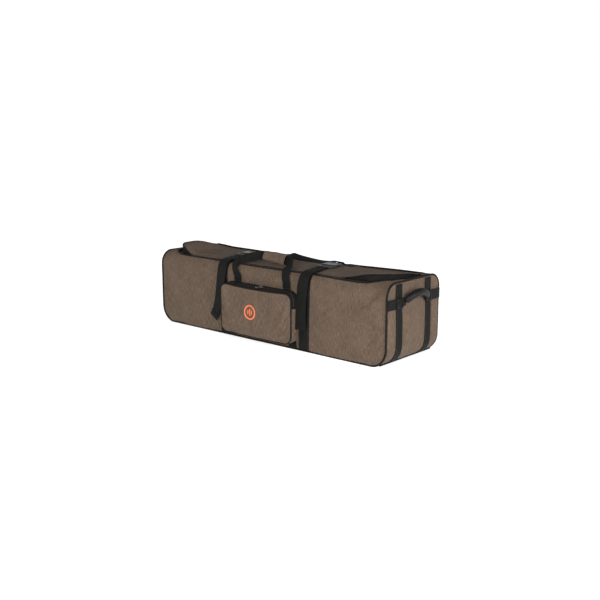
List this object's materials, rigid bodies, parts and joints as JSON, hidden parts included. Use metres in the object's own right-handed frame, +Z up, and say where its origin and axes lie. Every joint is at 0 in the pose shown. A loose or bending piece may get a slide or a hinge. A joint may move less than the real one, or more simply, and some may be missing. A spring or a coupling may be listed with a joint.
{
  "type": "padded gig bag",
  "caption": "Long box-shaped padded bag with a zipped hinged lid, front pocket, compression straps, carry handles and end grips.",
  "frame": {"origin": "middle of the flat bottom face, midway along the bag and between its front and back panels", "axes": "+X along the bag, +Y from the pocket side to the back, +Z up"},
  "size_m": [1.2952, 0.3928, 0.3384],
  "materials": {
    "woven_fabric": "heathered coarse woven polyester",
    "black_fabric": "coated black fabric",
    "webbing": "ribbed black webbing",
    "piping": "smooth dark piping",
    "foam": "matt grey foam",
    "lining": "smooth nylon lining",
    "board": "stiff black board",
    "zipper": "woven zipper tape with nylon coil",
    "buckle": "moulded black plastic",
    "slider_metal": "black painted zipper metal",
    "grip": "padded black grip sleeve",
    "emblem": "orange embroidery"
  },
  "bodies": {
    "bag": {"front_panel": "woven_fabric", "back_panel": "woven_fabric", "left_end_panel": "woven_fabric", "right_end_panel": "woven_fabric", "bottom_panel": "black_fabric", "foam_front": "foam", "foam_back": "foam", "foam_left_end": "foam", "foam_right_end": "foam", "foam_bottom": "foam", "lining": "lining", "base_board": "board", "piping_front": "piping", "piping_back": "piping", "piping_left_end": "piping", "piping_right_end": "piping", "body_zipper_tape": "zipper", "hinge_binding": "black_fabric", "left_strap_wrap": "webbing", "right_strap_wrap": "webbing", "left_handle_run": "webbing", "right_handle_run": "webbing", "end_straps": "webbing", "end_bands": "webbing", "end_patches": "webbing", "pocket_gusset": "woven_fabric", "pocket_front": "woven_fabric", "pocket_piping": "piping", "pocket_zipper_tape": "zipper", "emblem_patch": "emblem", "left_strap_front_run": "webbing", "right_strap_front_run": "webbing", "left_strap_tail": "webbing", "right_strap_tail": "webbing"},
    "lid": {"lid_cover": "woven_fabric", "lid_pad": "foam", "lid_lining": "lining", "lid_piping": "piping", "lid_zipper_tape": "zipper", "left_strap_rear_run": "webbing", "right_strap_rear_run": "webbing", "left_buckle_socket": "buckle", "right_buckle_socket": "buckle"},
    "left_plug": {"left_buckle_plug": "buckle"},
    "right_plug": {"right_buckle_plug": "buckle"},
    "left_slider": {"left_zipper_slider": "slider_metal"},
    "right_slider": {"right_zipper_slider": "slider_metal"},
    "left_pull": {"left_zipper_pull": "slider_metal"},
    "right_pull": {"right_zipper_pull": "slider_metal"},
    "front_handle": {"front_handle_loop": "webbing", "grip_wrap": "woven_fabric"},
    "wrap_flap": {"grip_wrap_flap": "woven_fabric"},
    "rear_handle": {"rear_handle_loop": "webbing"},
    "left_grip": {"left_end_grip": "grip"},
    "right_grip": {"right_end_grip": "grip"},
    "pocket_door": {"pocket_flap": "woven_fabric", "pocket_flap_rim": "black_fabric", "pocket_flap_piping": "piping"},
    "pocket_zip": {"pocket_slider": "slider_metal"},
    "pocket_tab": {"pocket_pull": "slider_metal"}
  },
  "joints": [
    {"name": "lid_hinge", "type": "hinge", "parent": "bag", "child": "lid", "pos_m": [0, 0.139, 0.306], "axis": [-1, 0, 0], "range_deg": [0, 105], "deforming": ["hinge_binding", "left_strap_front_run", "right_strap_front_run", "left_strap_tail", "right_strap_tail", "front_handle_loop", "grip_wrap", "grip_wrap_flap", "rear_handle_loop"]},
    {"name": "left_buckle_slide", "type": "slide", "parent": "lid", "child": "left_plug", "axis": [0, -1, 0], "range_m": [0, 0.034]},
    {"name": "left_zipper_slide", "type": "slide", "parent": "lid", "child": "left_slider", "axis": [0, -1, 0], "range_m": [0, 0.14]},
    {"name": "left_pull_hinge", "type": "hinge", "parent": "left_slider", "child": "left_pull", "pos_m": [-0.567, 0.1255, 0.3019], "axis": [-1, 0, 0], "range_deg": [0, 140]},
    {"name": "right_buckle_slide", "type": "slide", "parent": "lid", "child": "right_plug", "axis": [0, -1, 0], "range_m": [0, 0.034]},
    {"name": "right_zipper_slide", "type": "slide", "parent": "lid", "child": "right_slider", "axis": [0, -1, 0], "range_m": [0, 0.14]},
    {"name": "right_pull_hinge", "type": "hinge", "parent": "right_slider", "child": "right_pull", "pos_m": [0.567, 0.1255, 0.3019], "axis": [-1, 0, 0], "range_deg": [0, 140]},
    {"name": "front_handle_swing", "type": "hinge", "parent": "bag", "child": "front_handle", "pos_m": [0, -0.1684, 0.237], "axis": [1, 0, 0], "range_deg": [0, 90]},
    {"name": "wrap_flap_hinge", "type": "hinge", "parent": "front_handle", "child": "wrap_flap", "pos_m": [0, -0.064, 0.3332], "axis": [-1, 0, 0], "range_deg": [0, 140]},
    {"name": "rear_handle_swing", "type": "hinge", "parent": "bag", "child": "rear_handle", "pos_m": [0, 0.1684, 0.237], "axis": [-1, 0, 0], "range_deg": [0, 150]},
    {"name": "left_grip_swing", "type": "hinge", "parent": "bag", "child": "left_grip", "pos_m": [-0.6069, 0, 0.231], "axis": [0, -1, 0], "range_deg": [-10, 90], "stiffness_Nm_per_rad": 0.8},
    {"name": "right_grip_swing", "type": "hinge", "parent": "bag", "child": "right_grip", "pos_m": [0.6069, 0, 0.231], "axis": [0, 1, 0], "range_deg": [-10, 90], "stiffness_Nm_per_rad": 0.8},
    {"name": "pocket_door_hinge", "type": "hinge", "parent": "bag", "child": "pocket_door", "pos_m": [0, -0.2094, 0.1662], "axis": [1, 0, 0], "range_deg": [0, 70]},
    {"name": "pocket_zipper_slide", "type": "slide", "parent": "pocket_door", "child": "pocket_zip", "axis": [1, 0, 0], "range_m": [-0.16, 0.12]},
    {"name": "pocket_pull_hinge", "type": "hinge", "parent": "pocket_zip", "child": "pocket_tab", "pos_m": [0.02, -0.1934, 0.2322], "axis": [-1, 0, 0], "range_deg": [0, 140]}
  ]
}
